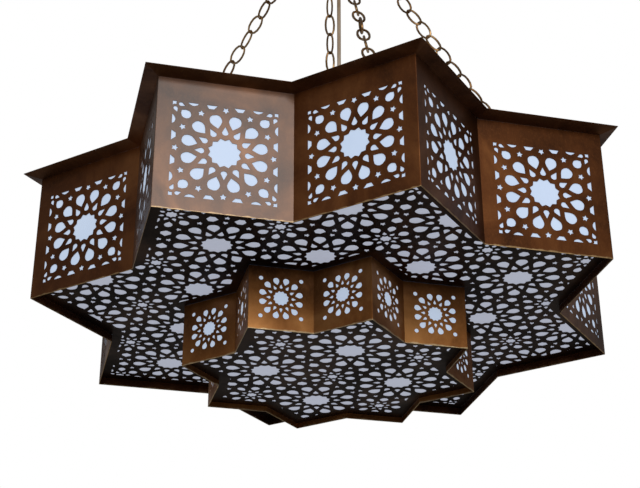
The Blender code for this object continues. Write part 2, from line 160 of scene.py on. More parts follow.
def tones(material, factor, *stops):
    """A colour ramp from (position, colour) stops."""
    ramp = add(material, "ValToRGB")
    cells = ramp.color_ramp.elements
    while len(cells) < len(stops):
        cells.new(0.5)
    for cell, (position, colour) in zip(cells, stops):
        cell.position = position
        cell.color = (*colour, 1.0)
    join_up(material, (factor, ramp.inputs["Fac"]))
    return ramp.outputs["Color"]


def span(material, value, low, high, to_low, to_high):
    """Value from one range to another, held at its ends."""
    scaled = add(material, "MapRange", **{"From Min": low, "From Max": high,
                                          "To Min": to_low, "To Max": to_high})
    join_up(material, (value, scaled.inputs["Value"]))
    return scaled.outputs["Result"]


def blend_colours(material, factor, first, second):
    mix = add(material, "Mix", data_type="RGBA")
    join_up(material, (factor, mix.inputs[0]), (first, mix.inputs[6]), (second, mix.inputs[7]))
    return mix.outputs[2]


def relief(material, shader, height, depth, strength=1.0):
    """Surface relief, its depth in metres."""
    bump = add(material, "Bump", Strength=strength, Distance=depth)
    join_up(material, (height, bump.inputs["Height"]), (bump.outputs["Normal"], shader.inputs["Normal"]))


def mottled(name, roughness, spots, stops, roughnesses, metallic=0.0):
    """A finish whose colour and roughness follow one noise; spots are the noise's settings."""
    material, shader, place = new_finish(name, roughness, metallic)
    noise = grain(material, place, *spots)
    join_up(material, (tones(material, noise, *stops), shader.inputs["Base Color"]),
            (span(material, noise, 0.3, 0.7, *roughnesses), shader.inputs["Roughness"]))
    return material, shader, place


sheath, shader, place = mottled(
    "beige_lead_sheath", 0.42, (60, 5, (1, 1, 0.3)),
    [(0.30, (0.30, 0.19, 0.10)), (0.50, (0.50, 0.37, 0.24)), (0.72, (0.62, 0.50, 0.36))], (0.36, 0.55))
relief(sheath, shader, grain(sheath, place, 900, 2), 0.00008)


def lead_line(start, end, count):
    """Points down the lead between two shares of its length."""
    line = []
    for i in range(count + 1):
        t = start + (end - start) * i / count
        bow = math.sin(math.pi * t) * LEAD_BOW
        line.append(LEAD_TOP.lerp(LEAD_FOOT, t) + Vector((bow, -bow, 0)))
    return line


for name, start, end, count, upper, lower, turn_from, turn_to in (
        ("lead_upper", 0.0, LEAD_SPLIT, 15, "ceiling", "hanger", -0.076, -0.116),
        ("lead_lower", LEAD_SPLIT, 1.0, 40, "hanger", "lantern", -0.122, -0.300)):
    line = lead_line(start, end, count)
    lead = wire(name, line, LEAD_RADIUS, 12)
    lead.data.materials.append(sheath)
    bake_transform(lead)
    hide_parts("lead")


# The ceiling plate: a zinc-plated steel disc screwed to the ceiling with two pan-head screws, with
# an open hook of 6 mm round bar held in its middle by a hexagon nut.
PLATE_RADIUS, PLATE_THICK = 0.045, 0.003
SCREW_PLACES = (-0.030, 0.030)
SCREW_HEIGHT, DRIVER_SLOT = 0.0055, (0.0075, 0.0011, 0.0022)
HOOK_WIRE, HOOK_RADIUS, HOOK_Z = 0.003, 0.013, -0.0828
SHANK_END = HOOK_Z + HOOK_RADIUS + 0.012      # where the straight shank meets the bend
HOOK_NUT_RADIUS, HOOK_NUT_HEIGHT, HOOK_NUT_GAP = 0.0078, 0.005, 0.0004
TINY = 0.00005                                # stands for no radius at all on the axis


def raise_ring(steps):
    """In edit mode, raise the selected ring step by step along (radius, height)."""
    radius, height = steps[0]
    for next_radius, next_height in steps[1:]:
        bpy.ops.mesh.extrude_region_move(
            TRANSFORM_OT_translate={"value": (0, 0, next_height - height)})
        bpy.ops.transform.resize(value=(next_radius / radius, next_radius / radius, 1),
                                 center_override=(0, 0, next_height))
        radius, height = next_radius, next_height


def turned(name, profile, sides, finish, smooth=35):
    """A piece turned on the upright axis, its profile a line of (radius, height)."""
    steps = [(max(radius, TINY), height) for radius, height in profile]
    radius, height = steps[0]
    bpy.ops.object.select_all(action="DESELECT")
    bpy.ops.mesh.primitive_circle_add(vertices=sides, radius=radius, location=(0, 0, height))
    piece = bpy.context.object
    piece.name = piece.data.name = name
    bpy.ops.object.mode_set(mode="EDIT")
    bpy.ops.mesh.select_all(action="SELECT")
    raise_ring(steps)
    close_up(3 * TINY)
    bpy.ops.object.transform_apply(location=True, rotation=True, scale=True)
    piece.data.materials.append(finish)
    bpy.ops.object.shade_smooth_by_angle(angle=math.radians(smooth))
    return piece


def pick(piece):
    """Make a piece the active one and the only one selected."""
    bpy.ops.object.select_all(action="DESELECT")
    bpy.context.view_layer.objects.active = piece
    piece.select_set(True)


def pick_where(piece, kind, test):
    """In edit mode, select only the corners, edges or faces that pass a test."""
    bpy.ops.mesh.select_mode(type=kind)
    bpy.ops.mesh.select_all(action="DESELECT")
    mesh = bmesh.from_edit_mesh(piece.data)
    for element in {"VERT": mesh.verts, "EDGE": mesh.edges, "FACE": mesh.faces}[kind]:
        element.select_set(test(element))
    bmesh.update_edit_mesh(piece.data)


def cut_out(piece, cutter):
    """Take the cutter's shape out of a piece, and throw the cutter away."""
    cut = piece.modifiers.new("cut", "BOOLEAN")
    cut.object = cutter
    cut.operation = "DIFFERENCE"
    bpy.context.view_layer.objects.active = piece
    bpy.ops.object.modifier_apply(modifier=cut.name)
    bpy.data.objects.remove(cutter, do_unlink=True)


def ease_edges(piece, width):
    ease = piece.modifiers.new("eased_edges", "BEVEL")
    ease.width, ease.segments, ease.limit_method = width, 2, "ANGLE"
    bpy.ops.object.modifier_apply(modifier=ease.name)


def put(piece, matrix):
    """Place a finished piece, leaving its object at the origin."""
    pick(piece)
    piece.matrix_world = matrix
    bpy.ops.object.transform_apply(location=True, rotation=True, scale=True)
    return piece


def copy_of(piece, name):
    """A copy with its own mesh."""
    pick(piece)
    bpy.ops.object.duplicate(linked=False)
    twin = bpy.context.object
    twin.name = twin.data.name = name
    return twin


def settle(piece, body, slot, *nodes):
    """A finished piece rides on its body and stands for its CAD nodes; its slot is not used."""
    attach(piece, body)
    if nodes:
        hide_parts(*nodes)


zinc, shader, place = mottled(
    "zinc_plated_steel", 0.35, (220, 3, (1, 1, 1), 0.5, 1.2),
    [(0.3, (0.36, 0.36, 0.35)), (0.7, (0.62, 0.62, 0.60))], (0.48, 0.28), 1.0)
relief(zinc, shader, grain(zinc, place, 700, 3, (1, 1, 0.1)), 0.00005)

plate = turned("ceiling_plate_disc", [
    (0, -PLATE_THICK), (PLATE_RADIUS - 0.001, -PLATE_THICK), (PLATE_RADIUS, -PLATE_THICK + 0.001),
    (PLATE_RADIUS, 0), (0, 0)], 64, zinc)
settle(plate, "ceiling", "zinc_steel", "ceiling_plate")

screw = turned("pan_head_screw", [
    (0, -SCREW_HEIGHT), (0.0024, -0.0054), (0.0038, -0.0049), (0.0045, -0.0041), (0.0045, -0.0033),
    (0.0022, -0.0033), (0.0022, -0.0006), (0, -0.0006)], 24, zinc)
bpy.ops.mesh.primitive_cube_add(size=1, location=(0, 0, -SCREW_HEIGHT), scale=DRIVER_SLOT)
cut_out(screw, bpy.context.object)
for k, x in enumerate(SCREW_PLACES):
    twin = copy_of(screw, f"plate_screw_head_{k + 1}")
    put(twin, Matrix.Translation((x, 0, 0)) @ Matrix.Rotation(0.5 + k, 4, "Z"))
    settle(twin, "ceiling", "zinc_steel", f"plate_screw_{k + 1}")
bpy.data.objects.remove(screw, do_unlink=True)

hook_line = [Vector((0, 0, -PLATE_THICK - 0.0003)), Vector((0, 0, SHANK_END))]
for i in range(41):
    a = math.radians(100 + i * 7)
    hook_line.append(Vector((math.cos(a) * HOOK_RADIUS, 0, HOOK_Z + math.sin(a) * HOOK_RADIUS)))
hook = wire("round_bar_hook", hook_line, HOOK_WIRE, 16)
hook.data.materials.append(zinc)
settle(hook, "ceiling", "zinc_steel", "ceiling_hook")

bpy.ops.object.select_all(action="DESELECT")
nut_middle = -PLATE_THICK - HOOK_NUT_GAP - HOOK_NUT_HEIGHT / 2
bpy.ops.mesh.primitive_cylinder_add(vertices=6, radius=HOOK_NUT_RADIUS, depth=HOOK_NUT_HEIGHT,
                                    location=(0, 0, nut_middle))
hook_nut = bpy.context.object
hook_nut.name = hook_nut.data.name = "hook_nut"
bpy.ops.object.transform_apply(location=True, rotation=True, scale=True)
ease_edges(hook_nut, 0.0006)
hook_nut.data.materials.append(zinc)
settle(hook_nut, "ceiling", "zinc_steel")


# The canopy: a spun brass bell that covers the plate and the hook, held up by a knurled nut round
# the hook's shank, with a tapered plastic grip where the lead comes out.
CANOPY_RADIUS, CANOPY_LOW, CANOPY_HEIGHT = 0.062, -0.048, 0.0474
CANOPY_SHEET, CANOPY_HOLE = 0.0012, 0.0045
NUT_BORE, KNURLS, KNURL_DEPTH = 0.0034, 24, 0.94
LEAD_BORE = LEAD_RADIUS + 0.0001              # in the grip and in the gland on the box


def aged_brass(name, deep, brown, gold, roughness=(0.30, 0.52), streaks=0.35, lacquer=0.18):
    """Brass darkened brown by hand, thinner where it has been rubbed, under a dull lacquer."""
    material, shader, place = new_finish(name, roughness[0], 1.0)
    clouds = grain(material, place, 11, 6, (1, 1, 0.8), 0.58, 0.5)
    runs = grain(material, place, 46, 5, (1, 1, 0.16), 0.6, 0.2)
    specks = grain(material, place, 420, 3, (1, 1, 0.6), 0.7)
    even = add(material, "Math", operation="MULTIPLY_ADD")
    even.inputs[1].default_value = streaks
    cover = span(material, clouds, 0.28, 0.72, -streaks / 2, 1 - streaks / 2)
    join_up(material, (runs, even.inputs[0]), (cover, even.inputs[2]))
    body = tones(material, even.outputs[0], (0.12, deep), (0.52, brown), (0.95, gold))
    darkest = tuple(c / 2 for c in deep)
    fleck = tones(material, specks, (0.36, darkest), (0.50, brown), (0.70, gold))
    few = span(material, specks, 0.42, 0.72, 0.0, 0.30)
    join_up(material, (blend_colours(material, few, body, fleck), shader.inputs["Base Color"]),
            (span(material, even.outputs[0], 0.2, 0.9, roughness[1], roughness[0]),
             shader.inputs["Roughness"]))
    relief(material, shader, grain(material, place, 240, 5, (1, 1, 0.35), 0.65), 0.00018, 0.5)
    shader.inputs["Coat Weight"].default_value = lacquer
    shader.inputs["Coat Roughness"].default_value = 0.30
    return material


chain_brass = aged_brass("antique_chain_brass", (0.055, 0.028, 0.012), (0.24, 0.130, 0.052),
                         (0.66, 0.44, 0.20), (0.26, 0.42))
cream_plastic, shader, place = mottled(
    "cream_moulded_plastic", 0.38, (90, 4),
    [(0.3, (0.55, 0.49, 0.38)), (0.7, (0.70, 0.65, 0.54))], (0.45, 0.32))
relief(cream_plastic, shader, grain(cream_plastic, place, 1500, 2), 0.00003)

bell = [
    (CANOPY_HOLE, 0), (0.022, 0), (0.031, 0.001), (0.0385, 0.0040), (0.045, 0.0090), (0.0505, 0.0155),
    (0.0545, 0.0230), (0.0570, 0.0310), (0.0580, 0.0380), (0.0583, 0.0405), (0.0600, 0.0412),
    (0.0612, 0.0424), (0.0604, 0.0437), (0.0600, 0.0442), (0.0614, 0.0450),
    (CANOPY_RADIUS, CANOPY_HEIGHT - 0.001), (CANOPY_RADIUS, CANOPY_HEIGHT),
    (CANOPY_RADIUS - CANOPY_SHEET, CANOPY_HEIGHT), (0.0582, 0.0442), (0.0570, 0.0405), (0.0558, 0.0310),
    (0.0533, 0.0234), (0.0494, 0.0163), (0.0440, 0.0100), (0.0380, 0.0053), (0.0305, 0.0023),
    (0.022, CANOPY_SHEET), (CANOPY_HOLE, CANOPY_SHEET), (CANOPY_HOLE, 0)]
canopy = turned("canopy_bell", [(r, CANOPY_LOW + z) for r, z in bell], 72, chain_brass)
settle(canopy, "ceiling", "chain_brass", "canopy")

drum = [(NUT_BORE, -0.0003), (NUT_BORE, -0.006), (0.0086, -0.006), (0.0098, -0.0054), (0.0110, -0.0042),
        (0.0110, -0.0014), (0.0104, -0.0003), (NUT_BORE, -0.0003)]
nut = turned("canopy_nut_knurled", [(r, CANOPY_LOW + z) for r, z in drum], 2 * KNURLS, chain_brass, 20)
bpy.ops.object.mode_set(mode="EDIT")
pick_where(nut, "VERT", lambda v: v.co.xy.length > 0.0105
           and round(math.atan2(v.co.y, v.co.x) * KNURLS / math.pi) % 2 == 0)
bpy.ops.transform.resize(value=(KNURL_DEPTH, KNURL_DEPTH, 1), center_override=(0, 0, CANOPY_LOW))
bpy.ops.object.mode_set(mode="OBJECT")
settle(nut, "ceiling", "chain_brass", "canopy_nut")

grip = turned("lead_cord_grip", [
    (LEAD_BORE, -0.072), (0.0040, -0.072), (0.0044, -0.0712), (0.0046, -0.064), (0.0043, -0.0635),
    (0.0049, -0.0630), (0.0052, -0.0575), (0.0049, -0.0570), (0.0057, -0.0562), (0.0072, -0.0530),
    (0.0075, -0.0515), (0.0075, CANOPY_LOW - 0.0002), (LEAD_BORE, CANOPY_LOW - 0.0002),
    (LEAD_BORE, -0.072)], 32, cream_plastic)
put(grip, Matrix.Translation((LEAD_TOP.x, LEAD_TOP.y, 0)))
settle(grip, "ceiling", "lampholder_plastic", "lead_bush")


# The top ring: 5 mm brass wire bent round and brazed shut, hung in the hook.  Every chain's first
# link goes round it.
RING_Z, RING_RADIUS, RING_WIRE = -0.110, 0.020, 0.0025
WELD_ANGLE, WELD_REACH, WELD_SWELL = 1.9, 0.0030, 1.16

bpy.ops.object.select_all(action="DESELECT")
bpy.ops.mesh.primitive_torus_add(location=(0, 0, RING_Z), rotation=(0, math.pi / 2, 0),
                                 major_radius=RING_RADIUS, minor_radius=RING_WIRE,
                                 major_segments=56, minor_segments=14)
ring = bpy.context.object
ring.name = ring.data.name = "hanging_ring"
bpy.ops.object.transform_apply(location=True, rotation=True, scale=True)
bpy.ops.object.mode_set(mode="EDIT")
weld = Vector((0, RING_RADIUS * math.sin(WELD_ANGLE), RING_Z - RING_RADIUS * math.cos(WELD_ANGLE)))
pick_where(ring, "VERT", lambda v: (v.co - weld).length < WELD_REACH)
bpy.ops.transform.resize(value=(WELD_SWELL, WELD_SWELL, WELD_SWELL), center_override=weld)
bpy.ops.object.mode_set(mode="OBJECT")
ring.data.materials.append(chain_brass)
bpy.ops.object.shade_smooth_by_angle(angle=math.radians(60))
settle(ring, "hanger", "chain_brass", "top_ring")


# The chains: oval links of 3.5 mm brass wire, butted and pinched shut, each turned from the next
# and a little askew.  A split ring joins the last link to a tongue soldered inside the wall.
STAR_RADIUS, SHEET, RIM_Z = 0.420, 0.0008, -0.715
LINK_WIRE, LINK_PITCH, LINK_WIDTH = 0.0035, 0.0305, 0.0195
LUG_BEARINGS = (176.5, 97.5, -73.0, -5.5)
RING_PLACES = (-9.0, 35.0, -35.0, 9.0)
LUG_Z = RIM_Z - 0.016
CHAIN_INSET, LINK_CLEARANCE = 0.018, 0.009
SPLIT_RING, SPLIT_WIRE, SPLIT_RISE = 0.006, 0.00125, 0.003
TONGUE_WIDTH, TONGUE_THICK, TONGUE_DROP = 0.014, 0.002, 0.014
TONGUE_END, TONGUE_HOLE, HOLE_FROM_END = 0.0015, 0.0024, 0.006
KINKS = ((0.25, 1.10), (0.80, 1.55), (0.30, 1.30), (-0.46, 0.92))    # each chain's lean and swing
ASKEW = 0.20                       # how far a link may sit from that, in radians
FACET = math.radians(45)
INNER_CORNER = math.cos(FACET) / math.cos(FACET / 2)
DIAGONAL = math.sqrt(2)            # a star's tip moves this much for each step of its sides

half_width, half_length = (LINK_WIDTH - LINK_WIRE) / 2, (LINK_PITCH + LINK_WIRE) / 2
oval = []
for i in range(14):
    a = math.tau * i / 14
    bulge = 1 + 0.10 * math.sin(a) ** 2
    oval.append(Vector((math.cos(a) * half_width * bulge, 0, math.sin(a) * half_length)))
link = wire("chain_link", oval, LINK_WIRE / 2, 6, closed=True)
link.data.materials.append(chain_brass)
draw = random.Random(11)
for k, (bearing, ring_place) in enumerate(zip(LUG_BEARINGS, RING_PLACES)):
    a = math.radians(bearing)
    tip = math.radians(22.5 + 45 * round((bearing - 22.5) / 45))
    facing = tip + FACET if a > tip else tip - FACET
    wall = (STAR_RADIUS - SHEET * DIAGONAL) * math.cos(FACET) / math.cos(a - facing)
    foot = Vector((math.cos(a), math.sin(a), 0)) * (wall - CHAIN_INSET)
    foot.z = LUG_Z + LINK_CLEARANCE
    b = math.radians(ring_place)
    top = Vector((0, math.sin(b), -math.cos(b))) * (RING_RADIUS - RING_WIRE)
    top.z += RING_Z
    count = round((top - foot).length / LINK_PITCH)
    along = (top - foot).normalized()
    side = Vector((1, 0, 0))
    side = (side - along * side.dot(along)).normalized()
    links = []
    for i in range(count):
        twin = copy_of(link, f"link_{k + 1}_{i + 1}")
        lean, swing = KINKS[k]
        turn = lean + (i % 2) * swing + draw.uniform(-ASKEW, ASKEW) if i else 0.0
        x = Matrix.Rotation(turn, 3, along) @ side
        frame_of_link = Matrix((x, along.cross(x), along)).transposed().to_4x4()
        middle = top.lerp(foot, (i + 0.5) / count)
        stretch = (top - foot).length / count / LINK_PITCH
        put(twin, Matrix.Translation(middle) @ frame_of_link @ Matrix.Diagonal((1, 1, stretch, 1)))
        links.append(twin)
    bpy.ops.object.select_all(action="DESELECT")
    for twin in links:
        twin.select_set(True)
    bpy.context.view_layer.objects.active = links[0]
    bpy.ops.object.join()
    links[0].name = links[0].data.name = f"chain_of_links_{k + 1}"
    settle(links[0], "lantern", "chain_brass", f"chain_{k + 1}")

    # split ring through the tongue's hole and the last link
    inward = Vector((-math.cos(facing), -math.sin(facing), 0))
    middle = Vector((foot.x, foot.y, LUG_Z + SPLIT_RISE))
    hoop = []
    for i in range(20):
        turn = math.tau * i / 20
        hoop.append(middle + inward * math.cos(turn) * SPLIT_RING
                    + Vector((0, 0, math.sin(turn) * SPLIT_RING)))
    hoop = wire(f"split_ring_{k + 1}", hoop, SPLIT_WIRE, 8, closed=True)
    hoop.data.materials.append(chain_brass)
    settle(hoop, "lantern", "chain_brass")

    # the tongue: a strip folded down against the wall, with a punched hole
    depth = CHAIN_INSET * math.cos(a - facing)
    length = depth + TONGUE_END
    bpy.ops.object.select_all(action="DESELECT")
    bpy.ops.mesh.primitive_cube_add(size=1)
    tongue = bpy.context.object
    tongue.name = tongue.data.name = f"soldered_tongue_{k + 1}"
    bpy.ops.object.mode_set(mode="EDIT")
    bpy.ops.transform.resize(value=(length, TONGUE_WIDTH, TONGUE_THICK))
    bpy.ops.transform.translate(value=(length / 2, 0, -TONGUE_THICK / 2))
    bpy.ops.mesh.select_mode(type="FACE")
    bpy.ops.mesh.bisect(plane_co=(TONGUE_THICK, 0, 0), plane_no=(1, 0, 0))
    pick_where(tongue, "FACE",
               lambda f: f.normal.z < -0.5 and f.calc_center_median().x < TONGUE_THICK)
    bpy.ops.mesh.extrude_region_move(TRANSFORM_OT_translate={"value": (0, 0, -TONGUE_DROP)})
    bpy.ops.object.mode_set(mode="OBJECT")
    ease_edges(tongue, 0.0007)
    bpy.ops.mesh.primitive_cylinder_add(vertices=20, radius=TONGUE_HOLE, depth=0.01,
                                        location=(length - HOLE_FROM_END, 0, 0))
    cut_out(tongue, bpy.context.object)
    tongue.data.materials.append(chain_brass)
    at_wall = Vector((foot.x, foot.y, LUG_Z)) - inward * depth
    put(tongue, Matrix.Translation(at_wall)
        @ Matrix((inward, Vector((0, 0, 1)).cross(inward), (0, 0, 1))).transposed().to_4x4())
    settle(tongue, "lantern", "chain_brass", f"chain_lug_{k + 1}")
bpy.data.objects.remove(link, do_unlink=True)


# The upper walls: eight pieces of 0.8 mm brass sheet, each folded over one tip and pierced by saw
# in both halves, soldered to the next at the inner corners.  The pattern is a twelve-fold rosette
# in a square, with an eight-fold rosette at each corner of the square.
WALL_Z = -0.900
ROSETTE_UP = 0.0854
CELL = 0.13566                    # from one twelve-fold rosette to the next
FIELD = 0.0668                    # half the pierced square on a wall
FIVE_STAR_CIRCLE = 0.0616         # from a rosette's middle to its ring of small stars
LOZENGE_PLACE = 0.0176            # from the middle of a cell's side to the lozenges on it
SMALLEST_CUT, SMALLEST_SHARE = 2.2e-6, 0.12    # smaller parts of openings are left out
WALL_TRIM = 0.00035               # taken off each side of the walls' straps
PANEL = STAR_RADIUS * (math.sqrt(2) - 1)
OVERLAP = 0.0003                  # how far a panel runs into its neighbour at the inner corner
FOLD_EASE = 0.0009
WORN_WIDTH = 0.0018               # of the bright line along a wall's bottom edge
GLARE_PANEL = 6                         # the front left panel


def both_sides(half):
    """An opening from the outline of one half, in millimetres along and off its centre line."""
    rest = [(x, -y) for x, y in reversed(half) if y > 0]
    return [(x / 1000, y / 1000) for x, y in half + rest]


def star_shape(points, outer, inner, first=0.0):
    outline = []
    for i in range(2 * points):
        r, a = (outer, inner)[i % 2], first + math.pi * i / points
        outline.append((r * math.cos(a), r * math.sin(a)))
    return outline


def moved(outline, angle=0.0, x=0.0, y=0.0, size=1.0):
    c, s = math.cos(angle) * size, math.sin(angle) * size
    return [(x + c * px - s * py, y + s * px + c * py) for px, py in outline]


PETAL = both_sides([(35.8, 0), (41.0, 4.8), (44.6, 7.1), (47.5, 7.5), (50.6, 6.9), (53.4, 5.2), (54.8, 2.4)])
DART = both_sides([(25.8, 1.0), (26.8, 2.9), (29.2, 3.8), (30.6, 3.2), (37.5, 0)])
SMALL_PETAL = both_sides([(18.4, 0), (21.1, 3.8), (24.7, 5.8), (27.0, 5.8), (30.2, 4.1), (31.8, 1.5)])
THIN_PETAL = both_sides([(19.4, 0), (22.6, 3.2), (26.0, 4.8), (28.6, 4.7), (31.8, 3.3), (33.2, 1.2)])
SMALL_DART = both_sides([(10.0, 0.8), (11.0, 2.0), (12.8, 2.4), (17.6, 0)])
LOZENGE = both_sides([(-7.6, 0), (-2.3, 6.2), (3.6, 6.2), (7.2, 0)])
BIG_STAR = star_shape(12, 0.0207, 0.0176, math.radians(15))
EIGHT_STAR = star_shape(8, 0.0074, 0.0056)
FIVE_STAR = star_shape(5, 0.0041, 0.0021, math.pi)


def twelve_rosette(x, y, size=1.0, star=1.0):
    """The great star, its darts and its petals."""
    shapes = [moved(BIG_STAR, 0, x, y, star)]
    for i in range(12):
        a = math.radians(30 * i)
        shapes.append(moved(DART, a, x, y, size))
        shapes.append(moved(PETAL, a + math.radians(15), x, y, size))
    return shapes


def net(x, y):
    """One square of the net: a great rosette, its small stars, and the corner and edge fillings."""
    shapes = twelve_rosette(x, y)
    for i in range(12):
        a = math.radians(30 * i)
        shapes.append(moved(FIVE_STAR, a, x + FIVE_STAR_CIRCLE * math.cos(a),
                            y + FIVE_STAR_CIRCLE * math.sin(a)))
    cx, cy = x + CELL / 2, y + CELL / 2
    shapes.append(moved(EIGHT_STAR, 0, cx, cy))
    for i in range(8):
        a = math.radians(45 * i)
        shapes.append(moved(SMALL_PETAL if i % 2 else THIN_PETAL, a, cx, cy))
        shapes.append(moved(SMALL_DART, a + math.radians(22.5), cx, cy))
    for s in (-1, 1):
        shapes.append([(x + s * (LOZENGE_PLACE + px), cy + py) for px, py in LOZENGE])
        shapes.append([(cx + py, y + s * (LOZENGE_PLACE + px)) for px, py in LOZENGE])
    return shapes


def signed_area(outline):
    return sum(a[0] * b[1] - b[0] * a[1] for a, b in zip(outline, outline[1:] + outline[:1])) / 2


def area(outline):
    return abs(signed_area(outline))


def trimmed(outline, normal, limit):
    """The part of an outline where (x, y) . normal stays under limit."""
    kept = []
    for a, b in zip(outline, outline[1:] + outline[:1]):
        da = a[0] * normal[0] + a[1] * normal[1] - limit
        db = b[0] * normal[0] + b[1] * normal[1] - limit
        if da <= 0:
            kept.append(a)
        if (da < 0 < db) or (db < 0 < da):
            t = da / (da - db)
            kept.append((a[0] + (b[0] - a[0]) * t, a[1] + (b[1] - a[1]) * t))
    return kept


def in_square(outline, half, turn=0.0):
    for i in range(4):
        a = turn + math.pi / 2 * i
        outline = trimmed(outline, (math.cos(a), math.sin(a)), half)
    return outline


def grown(outline, by):
    """An opening with every side moved outwards."""
    side = by if signed_area(outline) > 0 else -by
    wider = []
    for before, here, after in zip(outline[-1:] + outline[:-1], outline, outline[1:] + outline[:1]):
        first = Vector((here[0] - before[0], here[1] - before[1])).normalized()
        second = Vector((after[0] - here[0], after[1] - here[1])).normalized()
        middle = Vector((first.y + second.y, -first.x - second.x))
        mitre = middle / max(middle.length_squared / 2, 0.6)
        wider.append((here[0] + mitre.x * side, here[1] + mitre.y * side))
    return wider


def worth_cutting(outline, whole):
    return len(outline) > 2 and area(outline) > max(SMALLEST_SHARE * area(whole), SMALLEST_CUT)


def pierced_sheet(name, outline, openings, thickness):
    """Sheet cut to an outline with openings, flat, its middle at height 0."""
    piece = drawn(name, [outline] + openings)
    piece.data.dimensions = "2D"
    piece.data.fill_mode = "BOTH"
    piece.data.extrude = thickness / 2
    to_mesh(piece, 0.000004)
    return piece


def folded_panel(name, panel, height, openings):
    """A flat pierced sheet folded back 45 degrees each way over a tip, standing on height 0.

    The tip's outer edge is the upright axis, and both halves run back from it towards -X.
    """
    reach = panel + OVERLAP
    flat = [(-reach, 0), (reach, 0), (reach, height), (-reach, height)]
    piece = pierced_sheet(name, flat, openings, SHEET)
    put(piece, Matrix(((0, 0, 1, -SHEET / 2), (1, 0, 0, 0), (0, 1, 0, 0), (0, 0, 0, 1))))
    bpy.ops.object.mode_set(mode="EDIT")
    bpy.ops.mesh.select_mode(type="VERT")
    bpy.ops.mesh.select_all(action="SELECT")
    bpy.ops.mesh.bisect(plane_co=(0, 0, 0), plane_no=(0, 1, 0))
    for side in (-1, 1):
        pick_where(piece, "VERT", lambda v: v.co.y * side > 0.00001)
        bpy.ops.transform.rotate(value=-side * FACET, orient_axis="Z", center_override=(0, 0, 0))
    # the fold's inner line moves back to where the two inner faces meet, and its outer one is eased
    pick_where(piece, "VERT", lambda v: abs(v.co.y) < 0.00001 and v.co.x < -SHEET / 2)
    bpy.ops.transform.translate(value=(SHEET - SHEET * DIAGONAL, 0, 0))
    pick_where(piece, "EDGE",
               lambda e: all(abs(v.co.y) < 0.00001 and v.co.x > -0.00001 for v in e.verts))
    bpy.ops.mesh.bevel(offset=FOLD_EASE, segments=3, material=1)
    bpy.ops.object.mode_set(mode="OBJECT")
    return piece


def eight_corners(corner, tier, radius, low):
    """Copies of a folded corner, stood at the eight tips of a star."""
    panels = []
    for k in range(8):
        panel = copy_of(corner, f"{tier}_folded_panel_{k + 1}")
        put(panel, Matrix.Rotation(math.radians(22.5 + 45 * k), 4, "Z")
            @ Matrix.Translation((radius, 0, low)))
        settle(panel, "lantern", f"{tier}_brass", f"{tier}_corner_panel_{k + 1}")
        panels.append(panel)
    bpy.data.objects.remove(corner, do_unlink=True)
    return panels


def worn_line(material, low, gold):
    """Rub the colour off a wall along its bottom edge."""
    shader = material.node_tree.nodes["Principled BSDF"]
    place = [n for n in material.node_tree.nodes if n.type == "TEX_COORD"][0].outputs["Object"]
    apart = add(material, "SeparateXYZ")
    patchy = span(material, grain(material, place, 70, 4), 0.35, 0.65,
                  0.3 * WORN_WIDTH, 1.6 * WORN_WIDTH)
    height = add(material, "Math", operation="SUBTRACT")
    height.inputs[1].default_value = low
    share = add(material, "Math", operation="DIVIDE")
    rubbed = add(material, "MapRange", **{"From Min": 1.0, "From Max": 0.4, "To Min": 0.0, "To Max": 1.0})
    join_up(material, (place, apart.inputs[0]), (apart.outputs["Z"], height.inputs[0]),
            (height.outputs[0], share.inputs[0]), (patchy, share.inputs[1]),
            (share.outputs[0], rubbed.inputs["Value"]))
    before = shader.inputs["Base Color"].links[0].from_socket
    dull = tuple(c * 0.55 for c in gold)
    bright = tones(material, grain(material, place, 150, 3), (0.3, dull), (0.7, gold))
    join_up(material, (blend_colours(material, rubbed.outputs["Result"], before, bright),
                       shader.inputs["Base Color"]))


wall_brass = aged_brass("brown_wall_brass", (0.050, 0.0170, 0.0055), (0.135, 0.0450, 0.0125),
                        (0.270, 0.105, 0.032), (0.36, 0.52))
worn_line(wall_brass, WALL_Z, (0.60, 0.40, 0.19))
# one panel gets its own darker copy of the wall brass under a thicker, high-index coat: a painted
# reflection, standing in for the greyish glare that shines over the brown on that panel
glare_panel_brass = aged_brass("glare_copy_wall_brass", (0.045, 0.0170, 0.0060), (0.110, 0.0430, 0.0140),
                        (0.200, 0.085, 0.030), (0.36, 0.50), lacquer=0.45)
glare_panel_brass.node_tree.nodes["Principled BSDF"].inputs["Coat IOR"].default_value = 2.1
worn_line(glare_panel_brass, WALL_Z, (0.60, 0.40, 0.19))
worn_brass = aged_brass("rubbed_fold_brass", (0.14, 0.090, 0.048), (0.44, 0.310, 0.170),
                        (0.80, 0.62, 0.38), (0.34, 0.50))

openings = []
for i in (-1, 0, 1):
    for j in (-1, 0, 1):
        for shape in net(i * CELL, j * CELL):
            shape = grown(shape, WALL_TRIM)
            inside = in_square(shape, FIELD)
            if worth_cutting(inside, shape):
                openings.append(inside)
halves = []
for side in (-1, 1):
    halves += [moved(shape, 0, side * PANEL / 2, ROSETTE_UP) for shape in openings]
corner_panel = folded_panel("upper_corner", PANEL, RIM_Z - WALL_Z, halves)
corner_panel.data.materials.append(wall_brass)
corner_panel.data.materials.append(worn_brass)
panels = eight_corners(corner_panel, "upper", STAR_RADIUS, WALL_Z)
panels[GLARE_PANEL - 1].data.materials[0] = glare_panel_brass


# The lip: a flat brass strip soldered round the top of the upper walls, flared outwards and mitred
# at every tip and inner corner.
LIP_REACH, LIP_RISE, GAP = 0.0186, 0.005, 0.0003
EASED = 0.0003                    # taken off sharp edges


